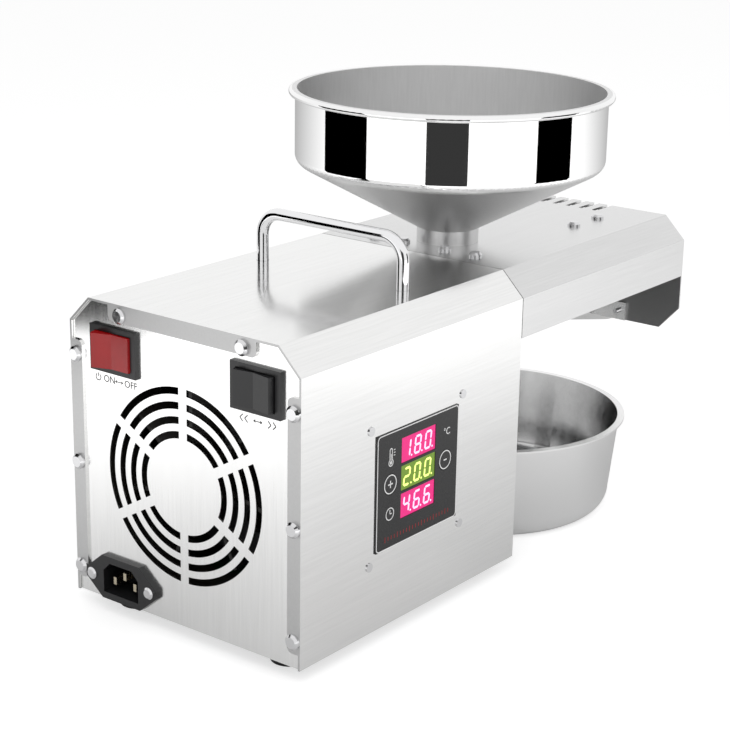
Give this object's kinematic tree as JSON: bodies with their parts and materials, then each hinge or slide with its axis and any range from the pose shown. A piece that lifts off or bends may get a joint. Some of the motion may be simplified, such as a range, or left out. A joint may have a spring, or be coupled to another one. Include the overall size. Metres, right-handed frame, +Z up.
{
  "type": "screw oil press",
  "caption": "Table-top electric screw oil press: sheet housing with motor and gearbox, hooded press barrel, lift-off hopper and separate oil bowl.",
  "frame": {"origin": "centre of the four feet on the table, under the middle of the housing", "axes": "+X along the press screw towards the cake outlet, +Z up, the display side at -Y"},
  "size_m": [0.3981, 0.178, 0.2515],
  "materials": {
    "steel_cover": "brushed stainless sheet",
    "steel_panel": "satin stainless sheet",
    "steel_hood": "brushed stainless sheet",
    "steel_polished": "polished stainless",
    "chrome_bar": "chrome plated bar",
    "screw_steel": "bright screws",
    "zinc_sheet": "zinc plated sheet",
    "machined_steel": "turned steel",
    "cast_case": "die-cast, matt",
    "rubber": "black rubber",
    "black_plastic": "black moulded plastic",
    "red_plastic": "red translucent plastic",
    "panel_black": "glossy black panel",
    "digit_red": "smoked display window",
    "board_green": "circuit board",
    "component": "moulded component",
    "brass": "plated brass",
    "lamination": "laminated iron",
    "copper": "enamelled copper",
    "motor_paint": "black painted can"
  },
  "bodies": {
    "frame": {"wrap_cover": "steel_cover", "rear_panel": "steel_panel", "rear_screws": "screw_steel", "front_panel": "zinc_sheet", "base_plate": "zinc_sheet", "rubber_feet": "rubber", "foot_screws": "screw_steel", "carry_handle": "chrome_bar", "handle_nuts": "screw_steel", "power_switch_case": "black_plastic", "mode_switch_case": "black_plastic", "inlet_socket": "black_plastic", "inlet_pins": "brass", "inlet_screws": "screw_steel", "display_panel": "panel_black", "digit_modules": "digit_red", "display_board": "board_green", "display_screws": "screw_steel", "motor_housing": "motor_paint", "stator_core": "lamination", "stator_coils": "copper", "motor_mount": "zinc_sheet", "fan_shroud": "black_plastic", "ball_bearings": "machined_steel", "thrust_bearing": "machined_steel", "gearbox_rear_case": "cast_case", "gearbox_front_case": "cast_case", "case_screws": "screw_steel", "press_barrel": "machined_steel", "barrel_bolts": "screw_steel", "nose_cap": "machined_steel", "heater_band": "steel_panel", "heater_screw": "screw_steel", "temperature_probe": "brass", "feed_throat": "machined_steel", "hood": "steel_hood", "hood_screws": "screw_steel", "hood_bracket": "zinc_sheet", "barrel_hanger": "zinc_sheet", "cake_chute": "steel_cover", "chute_screws": "screw_steel", "power_board": "board_green", "board_components": "component"},
    "hopper_unit": {"hopper": "steel_polished"},
    "bowl": {"oil_bowl": "steel_polished"},
    "power_rocker_body": {"power_rocker": "red_plastic"},
    "mode_rocker_body": {"mode_rocker": "black_plastic"},
    "plus_key_body": {"plus_key": "panel_black"},
    "minus_key_body": {"minus_key": "panel_black"},
    "rotor": {"motor_shaft": "machined_steel", "rotor_core": "lamination", "motor_pinion": "machined_steel", "cooling_fan": "black_plastic"},
    "layshaft": {"lay_shaft": "machined_steel", "first_gear": "machined_steel", "second_pinion": "machined_steel"},
    "screw_train": {"press_screw": "machined_steel", "output_shaft": "machined_steel", "output_gear": "machined_steel"}
  },
  "joints": [
    {"name": "motor_spin", "type": "hinge", "parent": "frame", "child": "rotor", "pos_m": [0, 0, 0.0825], "axis": [1, 0, 0], "continuous": true},
    {"name": "layshaft_spin", "type": "hinge", "parent": "frame", "child": "layshaft", "pos_m": [0.04, 0.0249, 0.09696], "axis": [1, 0, 0], "continuous": true},
    {"name": "screw_spin", "type": "hinge", "parent": "frame", "child": "screw_train", "pos_m": [0.1, 0, 0.125], "axis": [1, 0, 0], "continuous": true},
    {"name": "power_switch", "type": "hinge", "parent": "frame", "child": "power_rocker_body", "pos_m": [-0.0893, 0.0447, 0.143], "axis": [0, 0, 1], "range_deg": [-20, 0]},
    {"name": "mode_switch", "type": "hinge", "parent": "frame", "child": "mode_rocker_body", "pos_m": [-0.0893, -0.0479, 0.143], "axis": [0, 0, 1], "range_deg": [-10, 10]},
    {"name": "plus_key_press", "type": "slide", "parent": "frame", "child": "plus_key_body", "axis": [0, 1, 0], "range_m": [0, 0.0004], "stiffness_N_per_m": 2500},
    {"name": "minus_key_press", "type": "slide", "parent": "frame", "child": "minus_key_body", "axis": [0, 1, 0], "range_m": [0, 0.0004], "stiffness_N_per_m": 2500},
    {"name": "hopper_lift", "type": "slide", "parent": "frame", "child": "hopper_unit", "axis": [0, 0, 1], "range_m": [0, 0.12]},
    {"name": "bowl_slide", "type": "slide", "parent": "frame", "child": "bowl", "axis": [1, 0, 0], "range_m": [0, 0.2]}
  ],
  "couplings": [
    {"joint": "layshaft_spin", "follows": "motor_spin", "ratio": -0.2},
    {"joint": "screw_spin", "follows": "motor_spin", "ratio": 0.05}
  ]
}
